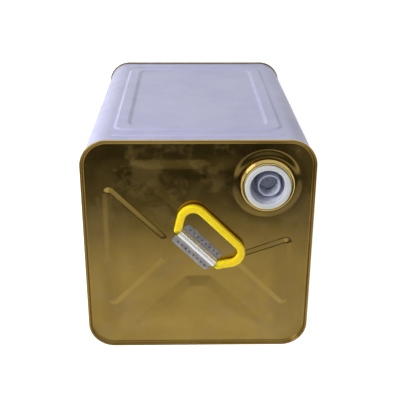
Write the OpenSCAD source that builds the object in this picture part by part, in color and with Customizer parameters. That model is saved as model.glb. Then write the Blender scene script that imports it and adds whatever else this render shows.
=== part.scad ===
// Square olive oil tin of 18 litre size with a pull-up pouring spout and a swinging carry handle.
// Millimetres. The tin stands upright: Z up, the bottom seam on z = 0, the spout in the +X +Y corner.

/* [Tin size] */
// width and depth over the double seams
can_w = 238; // [200:1:260]
// height over the double seams
can_h = 349; // [250:1:400]
// corner radius over the double seams
corner_r = 27.5; // [18:0.5:40]
// thickness of the tinplate
tin_t = 0.32; // [0.25:0.01:0.5]

/* [Double seams] */
// height of each double seam
seam_h = 3.5; // [3:0.1:5]
// gap left between the folded layers of a seam for the sealing compound
seam_gap = 0.2; // [0.1:0.01:0.3]
// depth of the end panels below the top of the seam
end_depth = 4.1; // [3.6:0.1:8]
// how far the countersunk wall leans in on its way down
chuck_lean = 0.76; // [0.3:0.02:2]
// how far the top of each seam is pressed flat
seam_flat = 0.06; // [0.02:0.01:0.15]
// gap under the end of the wall's folded edge inside a seam
hook_play = 0.1; // [0.05:0.05:0.5]
// depth of the sealing compound's straight part below the arch of a seam
compound_h = 0.25; // [0.1:0.05:0.6]
// play between the compound and the layers round it
compound_play = 0.02; // [0.01:0.01:0.05]

/* [Side panels] */
// distance of the raised frame and the beads from the tin's round corners
frame_margin = 3; // [3:0.5:20]
// height of the raised frame's lower edge above the bottom
frame_low = 37; // [28:1:60]
// depth of the frame's upper edge below the top of the tin
frame_drop = 37; // [33:1:60]
// width of the frame at its sides, over both slopes
band_side = 17.5; // [10:0.5:30]
// width of the frame along the bottom
band_low = 13; // [10:0.5:30]
// width of the frame along the top
band_high = 17; // [10:0.5:30]
// how far the frame stands out from the side
frame_rise = 1.2; // [0.5:0.1:1.4]
// width of the sloping edge of the frame
frame_slope = 3.5; // [1.5:0.5:6]
// corner radius of the frame
frame_r = 14; // [6:1:25]
// height of the lower bead above the bottom
bead_low_z = 21; // [14:0.5:28]
// depth of the upper bead below the top of the tin
bead_drop = 22; // [14:0.5:28]
// half width of a bead's cross section
bead_half = 4; // [2:0.5:5]
// how far a bead stands out
bead_rise = 1; // [0.4:0.1:1.4]

/* [Side weld] */
// gap between the raised frame and the welded side seam beside it
weld_gap = 0.4; // [0.2:0.1:1]
// width of the welded overlap
weld_w = 2.2; // [1:0.1:2.4]
// thickness of the welded overlap
weld_t = 0.25; // [0.1:0.05:0.4]

/* [Lid relief] */
// distance of the foot of the lid's raised middle from the outside of the tin
step_in = 12.5; // [7:0.5:20]
// height of that step
step_h = 0.8; // [0.4:0.1:1.5]
// width of its slope
step_slope = 5; // [2:0.5:8]
// distance of the outer edge of the four embossed panels from the outside of the tin
panel_in = 21; // [19:0.5:35]
// distance of their inner end from the middle
panel_near = 33; // [20:1:50]
// half width of the crossing bands that part the panels
band_half = 14; // [8:0.5:22]
// how far the panels stand up
panel_rise = 0.9; // [0.4:0.1:1.5]
// corner radius of the panels
panel_r = 7; // [5:0.5:12]
// width of the sloping edge of the panels
panel_slope = 4; // [2:0.5:6]
// slope of the panel edge that passes the spout, rise over run
pass_slope = 0.36; // [0.1:0.02:0.8]
// where that edge meets the outer edge, from the lid's middle line
pass_far = 14; // [0:0.5:30]

/* [Spout seat and neck] */
// distance of the spout's axis from the outside of the tin along X
spout_in_x = 49.5; // [44:0.5:70]
// distance of the spout's axis from the outside of the tin along Y
spout_in_y = 47; // [44:0.5:70]
// radius of the raised round seat at its foot
seat_r = 36.5; // [30:0.5:40]
// how far the seat stands above the middle of the lid
seat_rise = 1.3; // [0.5:0.1:2.5]
// width of the seat's sloping edge
seat_slope = 3; // [1:0.5:5]
// inner radius of the neck drawn up out of the lid
neck_r = 21.2; // [18:0.1:24]
// height of the neck above its seat, to the middle of its curled edge
neck_h = 5; // [4:0.1:9]
// radius of the curled edge's cross section
curl_r = 1.1; // [0.7:0.1:1.6]

/* [Crimp collar] */
// outer radius of the collar
collar_r = 26.7; // [25:0.1:30]
// height of the top of the collar above the seat
collar_h = 7.9; // [6:0.1:11]
// thickness of the collar's sheet
collar_t = 0.35; // [0.25:0.05:0.6]
// radius of the opening at the top of the collar
collar_lip_r = 23.6; // [22:0.1:25]
// radius of the two rolled beads round the collar
collar_bead = 0.5; // [0.2:0.1:0.9]
// outer radius of the collar's bends
collar_bend = 1.6; // [1:0.1:2.4]
// gap between the collar and the seat under it
collar_foot = 0.3; // [0.1:0.1:1]
// play between the collar and what it holds
collar_play = 0.05; // [0.02:0.01:0.2]

/* [Spout] */
// outer radius of the spout's ring where it stands above the collar
ring_r = 23.3; // [21:0.1:24]
// inner radius of the ring
ring_bore_r = 18; // [14:0.1:19]
// height of the top of the ring above the seat
ring_h = 10.3; // [8:0.1:14]
// radius of the ring's rounded edges
lip_r = 1; // [0.5:0.1:1.5]
// depth of the ring's plug below the seat, inside the neck
plug_deep = 2; // [0.5:0.5:8]
// play between the plug and the neck, and between the ring's skirt and the curled edge
plug_play = 0.1; // [0.05:0.05:0.5]
// gap between the plug and the folding wall inside it
plug_gap = 0.2; // [0.1:0.1:0.6]
// thickness of the soft ring between the curled neck and the spout
gasket_h = 0.8; // [0.4:0.1:1.6]
// thickness of the folding wall
wall_t = 0.9; // [0.6:0.1:1.6]
// depth of the fold below the top of the ring
fold_depth = 21; // [12:0.5:28]
// radius of the outer wall at the fold
fold_r = 16.8; // [14:0.1:18]
// how much wider the inner wall is at the fold than at the nozzle's rim
inner_flare = 1.2; // [0.2:0.1:2]
// outer radius of the pouring nozzle's rim
nozzle_r = 11.65; // [9:0.05:14]
// inner radius of the pouring nozzle
nozzle_bore_r = 9.25; // [6:0.05:11]
// depth of the nozzle's rim below the top of the ring, pushed in
nozzle_sunk = 5.5; // [2:0.5:10]
// height of the rim below its rounded lip
rim_foot = 0.1; // [0.1:0.1:2]
// length of the pouring nozzle
nozzle_l = 27; // [15:1:40]
// how far the pushed-in nozzle lies off the ring's axis along X
nozzle_off = 1.6; // [0:0.1:3]
// gap between the nozzle and the folded wall round it
nozzle_gap = 0.35; // [0.3:0.05:1]

/* [Handle strap] */
// turn of the handle's axis about Z
handle_turn = -45; // [-90:1:90]
// distance of the strap from the middle of the lid along its axis
strap_off = -1.6; // [-10:0.1:10]
// distance of the axis from the middle of the lid
axis_off = -0.5; // [-10:0.1:10]
// half length of the strap along the axis
strap_half_l = 25.7; // [18:0.1:32]
// half width of the strap over its two wings
strap_half_w = 13.3; // [9:0.1:20]
// thickness of the strap
strap_t = 0.5; // [0.3:0.05:1]
// corner radius of the wings
strap_r = 4; // [1:0.5:8]
// half width of the strap's tunnel at its foot
tunnel_half = 5; // [4:0.1:7]
// radius of a spot weld
spot_r = 0.9; // [0.5:0.1:1.5]
// height of a spot weld's mark
spot_h = 0.15; // [0.1:0.05:0.4]
// spot welds along each wing
spots = 8; // [4:1:12]
// distance between spot welds
spot_pitch = 5.6; // [4:0.1:8]
// distance of the spot welds from the axis
spot_row = 9.3; // [8:0.1:12]
// how far both rows of spot welds lie off the strap's middle, along the axis
spot_off = 1; // [-2:0.1:2]

/* [Handle] */
// width of the handle's section
handle_w = 8; // [6:0.1:12]
// thickness of the handle's section
handle_t = 5.6; // [4:0.1:8]
// edge radius of the section
handle_edge = 2; // [0.5:0.1:2.6]
// radius of the handle's pivot bar inside the strap
pivot_r = 2.9; // [2:0.1:3.5]
// gap between the pivot bar and the strap
pivot_gap = 0.3; // [0.2:0.05:0.8]
// distance of each leg's foot from the middle of the handle
foot_a = 28.3; // [27:0.1:34]
// how far the legs lean outwards over leg_rise: a whole-number triangle keeps the joints exact
leg_run = 336; // [0:1:527]
// distance along the handle over which the legs lean out by leg_run
leg_rise = 527; // [500:1:625]
// radius of the handle's two outer corners, on the middle of the section
bend_r = 13.2; // [8:0.1:18]
// distance of the grip from the axis, to the middle of its section
grip_b = 34; // [28:0.5:60]
// angle of the handle above the lid as photographed, in degrees
handle_tilt = 4; // [2:0.5:90]
// gap between the handle's legs and the ends of the strap
leg_gap = 0.6; // [0.3:0.1:2]

/* [Hidden] */
$fn = 96;

// folded layers of a double seam, measured outwards from the outer face of the tin's wall
layer = tin_t + seam_gap;
seam_out = 3 * layer;
wall_half = can_w / 2 - seam_out;
wall_r = corner_r - seam_out;
flat_half = can_w / 2 - corner_r;
arch_x = seam_gap + tin_t / 2;
hook_arch = tin_t + seam_gap + tin_t / 2;
relief_root = tin_t / 2;
lid_arch = hook_arch + layer;
arch_low = seam_flat - lid_arch;
fold_x = 2 * layer - tin_t / 2;
fold_low = hook_arch - seam_h;

// side panels
frame_half_w = flat_half - frame_margin;
frame_high = can_h - frame_drop;
field_half_w = frame_half_w - band_side;
field_low = frame_low + band_low;
field_high = frame_high - band_high;
bead_high_z = can_h - bead_drop;
weld_x = frame_half_w + weld_gap + weld_w / 2;

// places and levels on the lid
step_half = can_w / 2 - step_in;
panel_far = can_w / 2 - panel_in;
spout_x = can_w / 2 - spout_in_x;
spout_y = can_w / 2 - spout_in_y;
ledge_z = can_h - end_depth;
lid_z = ledge_z + step_h;
seat_z = lid_z + seat_rise;
step_run = step_slope / step_h;
seat_h = step_h + seat_rise;
seat_run = seat_slope / seat_rise;
chuck_x = arch_x - lid_arch - chuck_lean;
plate_half = wall_half + chuck_x + tin_t;
plate_r = wall_r + chuck_x + tin_t;
cut = 1;
tiny = 0.01;
corner_steps = 6;

// levels on the spout
ring_top = seat_z + ring_h;
collar_top = seat_z + collar_h;
collar_low = seat_z + collar_foot;
curl_z = seat_z + neck_h;
curl_x = neck_r + curl_r;
plug_r = neck_r - plug_play;
plug_in = ring_bore_r + wall_t + plug_gap;
lip_low = ring_top - 2 * lip_r;
skirt_r = collar_r - collar_t - collar_play;
skirt_in = curl_x + curl_r + plug_play;
skirt_low = curl_z - curl_r;
skirt_top = collar_top - collar_t - collar_play;
channel_top = curl_z + curl_r + gasket_h;
fold_floor = ring_top - fold_depth;
rim_z = ring_top - nozzle_sunk;
tube_r = nozzle_r - wall_t - nozzle_gap;
nozzle_lip = (nozzle_r - nozzle_bore_r) / 2;
rim_h = 2 * nozzle_lip + rim_foot;
inner_r = nozzle_r + inner_flare;

// levels on the handle
axis_z = lid_z + pivot_gap + pivot_r;
tunnel_in = pivot_r + pivot_gap;
tunnel_out = tunnel_in + strap_t;
legs_free = strap_half_l + leg_gap;
bend_b = grip_b - bend_r;
leg_lean = atan2(leg_run, leg_rise);
leg_end_b = bend_b - bend_r * sin(leg_lean);
bend_a = foot_a + leg_end_b * tan(leg_lean) - bend_r * cos(leg_lean);
leg_l = leg_end_b / cos(leg_lean);
root = 0.5;

// colours of the preview
gold = [0.62, 0.52, 0.24];
lavender = [0.75, 0.75, 0.86];
steel = [0.72, 0.71, 0.68];
white = [0.9, 0.91, 0.92];
yellow = [0.96, 0.8, 0.12];
grey = [0.45, 0.45, 0.46];

// a rectangle with round corners, given by its half width and half height
module rounded(hx, hy, r) {
    square([2 * hx, 2 * (hy - r)], center = true);
    square([2 * (hx - r), 2 * hy], center = true);
    for (sx = [-1, 1], sy = [-1, 1])
        translate([sx * (hx - r), sy * (hy - r)])
            circle(r);
}

// a cross section carried round the tin: its x runs outwards from the outer face of the wall
module round_the_tin() {
    reach = wall_half - wall_r;
    for (q = [0 : 3])
        rotate([0, 0, 90 * q]) {
            translate([reach, reach, 0])
                rotate_extrude(angle = 90)
                    translate([wall_r, 0])
                        children();
            translate([wall_half, reach, 0])
                rotate([90, 0, 0])
                    linear_extrude(2 * reach)
                        children();
        }
}

// the upper half of a ring's cross section
module arch(cx, cz, outer, inner) {
    difference() {
        translate([cx, cz])
            circle(outer);
        translate([cx, cz])
            circle(inner);
        translate([cx - 2 * outer, cz - 2 * outer])
            square([4 * outer, 2 * outer]);
    }
}

// a flat raised pad with round corners and sloping edges on the XY plane, with a straight foot below it
module pad(hx, hy, r, h, s, foot) {
    rotate([90, 0, 0])
        translate([0, 0, r - hy])
            linear_extrude(2 * (hy - r))
                polygon([[-hx, -foot], [hx, -foot], [hx, 0], [hx - s, h], [s - hx, h], [-hx, 0]]);
    rotate([90, 0, 90])
        translate([0, 0, r - hx])
            linear_extrude(2 * (hx - r))
                polygon([[-hy, -foot], [hy, -foot], [hy, 0], [hy - s, h], [s - hy, h], [-hy, 0]]);
    for (sx = [-1, 1], sy = [-1, 1])
        translate([sx * (hx - r), sy * (hy - r), 0]) {
            cylinder(h = h, r1 = r, r2 = r - s);
            translate([0, 0, -foot])
                cylinder(h = foot, r = r);
        }
}

// the outline at distance r round a convex polygon, anticlockwise, with its corners rounded
function round_outline(pts, r) = [
    for (i = [0 : len(pts) - 1])
        let (before = pts[i] - pts[(i + len(pts) - 1) % len(pts)], after = pts[(i + 1) % len(pts)] - pts[i])
        let (start = atan2(before[1], before[0]) - 90, end = atan2(after[1], after[0]) - 90)
        let (turn = (end - start + 360) % 360)
        for (k = [0 : corner_steps])
            let (a = start + turn * k / corner_steps)
            pts[i] + r * [cos(a), sin(a)]
];

// a raised pad over such an outline, its slopes carried down by deep
module outline_pad(pts, r, h, s, deep) {
    low = round_outline(pts, r + deep * s / h);
    high = round_outline(pts, r - s);
    m = len(low);
    polyhedron(
        points = concat([for (p = low) [p[0], p[1], -deep]], [for (p = high) [p[0], p[1], h]]),
        faces = concat(
            [[for (i = [0 : m - 1]) i]],
            [[for (i = [m - 1 : -1 : 0]) m + i]],
            [for (i = [0 : m - 1]) [i, m + i, m + (i + 1) % m, (i + 1) % m]]));
}

// the raised frame and the two beads of one side, seen square on, rooted a little below their surface
module side_relief(sink = 0) {
    frame_mid = (frame_low + frame_high) / 2;
    frame_half_h = (frame_high - frame_low) / 2;
    field_mid = (field_low + field_high) / 2;
    field_half_h = (field_high - field_low) / 2;
    translate([0, 0, -sink]) {
        difference() {
            translate([0, frame_mid, 0])
                pad(frame_half_w, frame_half_h, frame_r, frame_rise, frame_slope, relief_root);
            translate([0, field_mid, frame_rise])
                mirror([0, 0, 1])
                    pad(field_half_w + frame_slope, field_half_h + frame_slope, frame_r,
                        frame_rise, frame_slope, relief_root);
            translate([0, field_mid, -2 * relief_root])
                linear_extrude(3 * relief_root)
                    rounded(field_half_w, field_half_h, frame_r - frame_slope);
        }
        for (z = [bead_low_z, bead_high_z])
            translate([0, z, 0])
                pad(frame_half_w, bead_half, bead_half - tiny, bead_rise, bead_half / 2, relief_root);
    }
}

// the reliefs of all four sides
module sides(sink = 0) {
    for (q = [0 : 3])
        rotate([0, 0, 90 * q])
            translate([0, -wall_half, 0])
                rotate([90, 0, 0])
                    side_relief(sink);
}

// half of the wall's sheet with its folded edge, with the top of the tin on 0
module wall_section() {
    arch(arch_x, arch_low, hook_arch, hook_arch - tin_t);
    translate([2 * layer - tin_t, fold_low + hook_play])
        square([tin_t, arch_low - fold_low - hook_play]);
    translate([-tin_t, -can_h / 2 - cut])
        square([tin_t, can_h / 2 + cut + arch_low]);
}

module body_shell() {
    color(lavender)
        difference() {
            union() {
                translate([0, 0, can_h])
                    round_the_tin()
                        wall_section();
                mirror([0, 0, 1])
                    round_the_tin()
                        wall_section();
                sides();
            }
            sides(tin_t);
        }
}

// the welded overlap down the back of the tin
module side_weld() {
    color(steel)
        translate([-weld_x - weld_w / 2, -wall_half - weld_t, seam_h + cut])
            cube([weld_w, weld_t, can_h - 2 * seam_h - 2 * cut]);
}

// the cross section of an end's seam and countersunk wall, with the top of the tin on 0
module end_seam() {
    intersection() {
        arch(arch_x, arch_low, lid_arch, lid_arch - tin_t);
        translate([arch_x - lid_arch, arch_low])
            square([2 * lid_arch, -arch_low]);
    }
    translate([seam_out - tin_t, fold_low])
        square([tin_t, arch_low - fold_low]);
    translate([0, 2 * fold_low])
        mirror([0, 1])
            arch(fold_x, fold_low, hook_arch, hook_arch - tin_t);
    translate([seam_gap, fold_low])
        square([tin_t, arch_low - compound_h - fold_low]);
    polygon([
        [arch_x - lid_arch, arch_low],
        [arch_x - lid_arch + tin_t, arch_low],
        [chuck_x + tin_t, -end_depth - tin_t],
        [chuck_x, -end_depth - tin_t],
    ]);
}

// the compound that fills the top of a seam, with the top of the tin on 0
module compound_section() {
    r = hook_arch - tin_t - compound_play;
    translate([arch_x - r, arch_low - compound_h + compound_play])
        square([2 * r, compound_h - compound_play]);
    intersection() {
        translate([arch_x, arch_low])
            circle(r);
        translate([arch_x - r, arch_low - tiny])
            square([2 * r, r + tiny]);
    }
}

// corner centres of an embossed panel on the +X side that keeps clear of both bands
panel_off = band_half * sqrt(2) + panel_r * sqrt(2);
far = panel_far - panel_r;
near = panel_near + panel_r;
full_panel = [
    [far, far - panel_off],
    [near, near - panel_off],
    [near, panel_off - near],
    [far, panel_off - far]];

// the +X panel where the spout's seat takes its upper side away
pass_y = pass_far - panel_r * sqrt(1 + pass_slope * pass_slope) - pass_slope * panel_r;
tip_x = (panel_off - pass_y + pass_slope * far) / (1 + pass_slope);
short_panel = [[far, pass_y], [tip_x, panel_off - tip_x], [far, panel_off - far]];

// the raised forms of the lid, over its ledge
module lid_relief(deep) {
    translate([0, 0, ledge_z]) {
        translate([0, 0, -deep])
            pad(step_half + deep * step_run, step_half + deep * step_run, wall_r + deep * step_run,
                step_h + deep, step_slope + deep * step_run, tiny);
        translate([spout_x, spout_y, -deep])
            cylinder(h = seat_h + deep, r1 = seat_r + (step_h + deep) * seat_run, r2 = seat_r - seat_slope);
    }
    translate([0, 0, lid_z]) {
        outline_pad(short_panel, panel_r, panel_rise, panel_slope, deep);
        mirror([1, -1, 0])
            outline_pad(short_panel, panel_r, panel_rise, panel_slope, deep);
        for (q = [2, 3])
            rotate([0, 0, 90 * q])
                outline_pad(full_panel, panel_r, panel_rise, panel_slope, deep);
    }
}

module top_end() {
    color(gold) {
        translate([0, 0, can_h])
            round_the_tin()
                end_seam();
        difference() {
            union() {
                translate([0, 0, ledge_z - tin_t])
                    linear_extrude(tin_t)
                        rounded(plate_half, plate_half, plate_r);
                lid_relief(tin_t / 2);
            }
            translate([0, 0, -tin_t])
                lid_relief(cut);
            translate([spout_x, spout_y, ledge_z - cut])
                cylinder(h = can_h, r = neck_r);
        }
        translate([spout_x, spout_y, 0])
            rotate_extrude() {
                translate([neck_r, seat_z - tin_t])
                    square([tin_t, neck_h + tin_t]);
                difference() {
                    translate([curl_x, curl_z])
                        circle(curl_r);
                    translate([curl_x, curl_z])
                        circle(curl_r - tin_t);
                }
            }
    }
}

module bottom_end() {
    color(gold)
        mirror([0, 0, 1]) {
            round_the_tin()
                end_seam();
            difference() {
                union() {
                    translate([0, 0, -end_depth - tin_t])
                        linear_extrude(tin_t)
                            rounded(plate_half, plate_half, plate_r);
                    translate([0, 0, -end_depth])
                        pad(step_half, step_half, wall_r, step_h, step_slope, relief_root);
                }
                translate([0, 0, -end_depth - tin_t])
                    pad(step_half, step_half, wall_r, step_h, step_slope, cut);
            }
        }
}

module top_compound() {
    color(grey)
        translate([0, 0, can_h])
            round_the_tin()
                compound_section();
}

module bottom_compound() {
    color(grey)
        mirror([0, 0, 1])
            round_the_tin()
                compound_section();
}

// the soft ring between the curled neck and the spout
module neck_gasket() {
    color(grey)
        translate([spout_x, spout_y, 0])
            rotate_extrude()
                translate([plug_r + plug_play, curl_z + curl_r])
                    square([skirt_in - plug_r - 2 * plug_play, gasket_h]);
}

// the crimped collar that holds the spout down on the neck
module crimp_collar() {
    foot_r = neck_r + tin_t + collar_play;
    bend = collar_bend;
    color(gold)
        translate([spout_x, spout_y, 0])
            rotate_extrude() {
                translate([collar_lip_r, collar_top - collar_t])
                    square([collar_r - bend - collar_lip_r, collar_t]);
                intersection() {
                    difference() {
                        translate([collar_r - bend, collar_top - bend])
                            circle(bend);
                        translate([collar_r - bend, collar_top - bend])
                            circle(bend - collar_t);
                    }
                    translate([collar_r - bend, collar_top - bend])
                        square([bend, bend]);
                }
                translate([collar_r - collar_t, collar_low + bend])
                    square([collar_t, collar_top - collar_low - 2 * bend]);
                intersection() {
                    difference() {
                        translate([collar_r - bend, collar_low + bend])
                            circle(bend);
                        translate([collar_r - bend, collar_low + bend])
                            circle(bend - collar_t);
                    }
                    translate([collar_r - bend, collar_low])
                        square([bend, bend]);
                }
                translate([foot_r, collar_low])
                    square([collar_r - bend - foot_r, collar_t]);
                for (z = [collar_low + bend + collar_bead, collar_top - bend - collar_bead])
                    intersection() {
                        translate([collar_r - collar_t / 2, z])
                            circle(collar_bead + collar_t / 2);
                        translate([collar_r - collar_t / 2, z - collar_bead - collar_t])
                            square([collar_bead + collar_t, 2 * (collar_bead + collar_t)]);
                    }
            }
}

// the fixed ring of the spout: a plug inside the neck, a top, and a skirt under the collar
module spout_ring() {
    color(white)
        translate([spout_x, spout_y, 0])
            rotate_extrude() {
                translate([plug_in, seat_z - plug_deep])
                    square([plug_r - plug_in, ring_top - lip_r - seat_z + plug_deep]);
                translate([ring_bore_r + lip_r, lip_low])
                    square([ring_r - ring_bore_r - 2 * lip_r, ring_top - lip_low]);
                for (x = [ring_bore_r + lip_r, ring_r - lip_r])
                    translate([x, ring_top - lip_r])
                        circle(lip_r);
                translate([plug_in, channel_top])
                    square([ring_r - plug_in, ring_top - lip_r - channel_top]);
                translate([plug_in, channel_top])
                    square([collar_r - collar_bend - plug_in, skirt_top - channel_top]);
                translate([skirt_in, skirt_low])
                    square([collar_r - collar_bend - skirt_in, skirt_top - skirt_low]);
                translate([skirt_in, skirt_low])
                    square([skirt_r - skirt_in, collar_top - collar_bend - skirt_low]);
                intersection() {
                    translate([collar_r - collar_bend, collar_top - collar_bend])
                        circle(skirt_r - collar_r + collar_bend);
                    translate([collar_r - collar_bend - tiny, collar_top - collar_bend - tiny])
                        square([collar_bend, collar_bend]);
                }
            }
}

// the outer half of the folded wall, from the ring's lip down to the fold, with the fold's floor
module spout_outer_wall() {
    color(white)
        translate([spout_x, spout_y, 0])
            difference() {
                union() {
                    translate([0, 0, fold_floor])
                        cylinder(h = lip_low - fold_floor, r1 = fold_r, r2 = ring_bore_r + wall_t);
                    translate([0, 0, fold_floor - wall_t])
                        cylinder(h = wall_t, r = fold_r);
                }
                translate([0, 0, fold_floor])
                    cylinder(h = lip_low - fold_floor + tiny, r1 = fold_r - wall_t, r2 = ring_bore_r);
                translate([nozzle_off, 0, fold_floor - cut - wall_t])
                    cylinder(h = 2 * cut + wall_t, r = inner_r);
            }
}

// the inner half of the folded wall, from the fold up to the nozzle's rim
module spout_inner_wall() {
    color(white)
        translate([spout_x + nozzle_off, spout_y, fold_floor - wall_t])
            difference() {
                cylinder(h = rim_z - rim_h - fold_floor + wall_t, r1 = inner_r, r2 = nozzle_r);
                translate([0, 0, -tiny])
                    cylinder(h = rim_z - rim_h - fold_floor + wall_t + 2 * tiny, r1 = inner_r - wall_t,
                        r2 = nozzle_r - wall_t);
            }
}

// the pouring nozzle: a rim with a rounded lip on a straight tube
module pour_nozzle() {
    color(white)
        translate([spout_x + nozzle_off, spout_y, 0])
            difference() {
                union() {
                    translate([0, 0, rim_z - rim_h])
                        cylinder(h = rim_h - nozzle_lip, r = nozzle_r);
                    translate([0, 0, rim_z - nozzle_lip])
                        rotate_extrude()
                            translate([nozzle_bore_r + nozzle_lip, 0])
                                circle(nozzle_lip);
                    translate([0, 0, rim_z - nozzle_l])
                        cylinder(h = nozzle_l - rim_h, r = tube_r);
                }
                translate([0, 0, rim_z - nozzle_l - cut])
                    cylinder(h = nozzle_l + 2 * cut, r = nozzle_bore_r);
            }
}

// everything on the handle's axis is drawn along X and then turned into place
module on_handle_axis() {
    rotate([0, 0, handle_turn])
        translate([strap_off, axis_off, 0])
            children();
}

// one half of the strap's cross section: a wing, and a flank that runs up into the tunnel
module strap_section() {
    rise = axis_z - lid_z;
    lean = atan2(tunnel_half - tunnel_out, rise);
    difference() {
        union() {
            translate([0, rise])
                circle(tunnel_out);
            polygon([
                [-tunnel_half, 0],
                [tunnel_half, 0],
                [tunnel_out * cos(lean), rise + tunnel_out * sin(lean)],
                [-tunnel_out * cos(lean), rise + tunnel_out * sin(lean)]]);
        }
        translate([0, rise])
            circle(tunnel_in);
        polygon([[-tunnel_half + strap_t, -cut], [tunnel_half - strap_t, -cut], [tunnel_half - strap_t, 0],
            [tunnel_in * cos(lean), rise + tunnel_in * sin(lean)],
            [-tunnel_in * cos(lean), rise + tunnel_in * sin(lean)], [-tunnel_half + strap_t, 0]]);
    }
}

module handle_strap() {
    flat_l = strap_half_l - strap_r;
    color(steel)
        on_handle_axis()
            translate([0, 0, lid_z]) {
                rotate([90, 0, 90])
                    translate([0, 0, -strap_half_l])
                        linear_extrude(2 * strap_half_l)
                            strap_section();
                linear_extrude(strap_t)
                    difference() {
                        union() {
                            square([2 * flat_l, 2 * strap_half_w], center = true);
                            square([2 * strap_half_l, 2 * (strap_half_w - strap_r)], center = true);
                            for (sx = [-1, 1], sy = [-1, 1])
                                translate([sx * flat_l, sy * (strap_half_w - strap_r)])
                                    circle(strap_r);
                        }
                        square([2 * strap_half_l + cut, 2 * (tunnel_half - strap_t)], center = true);
                    }
            }
}

module spot_welds() {
    color(grey)
        on_handle_axis()
            for (i = [0 : spots - 1], side = [-1, 1])
                translate([spot_off + (i - (spots - 1) / 2) * spot_pitch, side * spot_row, lid_z + strap_t])
                    cylinder(h = spot_h, r = spot_r);
}

// the handle's section, with rounded edges
module handle_section(w) {
    e = handle_edge;
    square([w, handle_t - 2 * e], center = true);
    square([w - 2 * e, handle_t], center = true);
    for (sx = [-1, 1], sy = [-1, 1])
        translate([sx * (w / 2 - e), sy * (handle_t / 2 - e)])
            circle(e);
}

// one half of the handle, in its own plane, drawn from the middle of its outer bend
module handle_half() {
    reach = bend_r + handle_w;
    translate([bend_a, bend_b, 0]) {
        difference() {
            rotate_extrude()
                translate([bend_r, 0])
                    handle_section(handle_w);
            translate([-reach, -reach, -handle_t])
                cube([reach, 2 * reach, 2 * handle_t]);
            rotate([0, 0, -leg_lean])
                translate([-reach, -reach, -handle_t])
                    cube([2 * reach, reach, 2 * handle_t]);
        }
        translate([-bend_a, bend_r, 0])
            rotate([90, 0, 90])
                linear_extrude(bend_a)
                    handle_section(handle_w);
    }
    difference() {
        intersection() {
            translate([bend_a, bend_b, 0])
                rotate([0, 0, -leg_lean])
                    translate([bend_r, 0, 0])
                        rotate([90, 0, 0])
                            linear_extrude(leg_l + handle_w)
                                handle_section(handle_w);
            union() {
                translate([0, 0, -handle_t])
                    cube([2 * foot_a, grip_b, 2 * handle_t]);
                rotate([0, 90, 0])
                    cylinder(h = 2 * foot_a, r = pivot_r);
            }
        }
        translate([legs_free - 2 * handle_w, -handle_w, -handle_t])
            cube([2 * handle_w, 2 * handle_w, 2 * handle_t]);
    }
    rotate([0, 90, 0])
        cylinder(h = legs_free + root, r = pivot_r);
}

module handle() {
    color(yellow)
        on_handle_axis()
            translate([0, 0, axis_z])
                rotate([handle_tilt, 0, 0]) {
                    handle_half();
                    mirror([1, 0, 0])
                        handle_half();
                }
}

body_shell();
side_weld();
top_end();
bottom_end();
top_compound();
bottom_compound();
neck_gasket();
crimp_collar();
spout_ring();
spout_outer_wall();
spout_inner_wall();
pour_nozzle();
handle_strap();
spot_welds();
handle();
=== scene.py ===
"""The looks of a square oil tin: lacquered sheet, plastic spout and handle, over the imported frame."""

import math

import bpy
import numpy as np
from mathutils import Matrix, Vector


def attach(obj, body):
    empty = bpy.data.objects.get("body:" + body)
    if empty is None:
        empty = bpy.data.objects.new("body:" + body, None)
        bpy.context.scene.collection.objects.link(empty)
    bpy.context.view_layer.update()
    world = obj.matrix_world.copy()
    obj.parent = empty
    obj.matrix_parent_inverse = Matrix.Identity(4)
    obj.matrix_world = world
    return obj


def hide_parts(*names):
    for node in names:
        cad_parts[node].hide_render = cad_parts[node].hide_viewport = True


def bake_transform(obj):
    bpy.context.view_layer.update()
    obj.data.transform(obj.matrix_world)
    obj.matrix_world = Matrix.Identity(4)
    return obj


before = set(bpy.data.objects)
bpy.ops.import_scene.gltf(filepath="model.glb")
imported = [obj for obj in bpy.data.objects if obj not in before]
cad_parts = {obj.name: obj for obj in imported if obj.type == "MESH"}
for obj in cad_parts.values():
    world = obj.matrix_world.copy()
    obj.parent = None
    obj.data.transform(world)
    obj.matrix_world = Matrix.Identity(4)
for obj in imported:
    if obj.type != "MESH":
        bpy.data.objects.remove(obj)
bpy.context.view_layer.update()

# sizes are in millimetres where nothing else is said, and objects are made in metres
MM = 0.001

# the tin, its sheet and the gap between the seam's layers
TIN_WIDTH = 238.0
TIN_HEIGHT = 349.0
TIN_CORNER = 27.5
SHEET = 0.32
SEAM_GAP = 0.2
LAYER = SHEET + SEAM_GAP

# the wall's outer face lies three layers inside the seam's
WALL_HALF = TIN_WIDTH / 2 - 3 * LAYER
WALL_CORNER = TIN_CORNER - 3 * LAYER

# the seam: the end's sheet goes over it in an arch, and back in under it in a smaller turn, the hook
SEAM_HEIGHT = 3.5
HOOK_R = LAYER + SHEET / 2
ARCH_R = HOOK_R + LAYER

# how far the arch's middle stands out from the wall's outer face
SEAM_MIDDLE = SEAM_GAP + SHEET / 2

# the countersunk wall inside the seam leans in on its way down to the ledge, and ends in a fillet
LEDGE_Z = TIN_HEIGHT - 4.1
CHUCK_LEAN = 0.66
CHUCK_FILLET = 1.5

# the lid's raised middle
STEP_HALF = TIN_WIDTH / 2 - 12.5
STEP_RISE = 0.8
STEP_SLOPE = 32.0
LID_Z = LEDGE_Z + STEP_RISE

# the lid's four panels, from near to far off its middle, and half the width of the bands that part them
PANEL_FAR = TIN_WIDTH / 2 - 21.0
PANEL_NEAR = 33.0
PANEL_CORNER = 7.0
PANEL_RISE = 0.9
PANEL_SLOPE = 5.0
BAND_HALF = 14.0

# the edge of a short panel that passes the spout: its slope, and its height at the panel's far end
PASS_SLOPE = 0.36
PASS_FAR = 14.0

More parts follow.
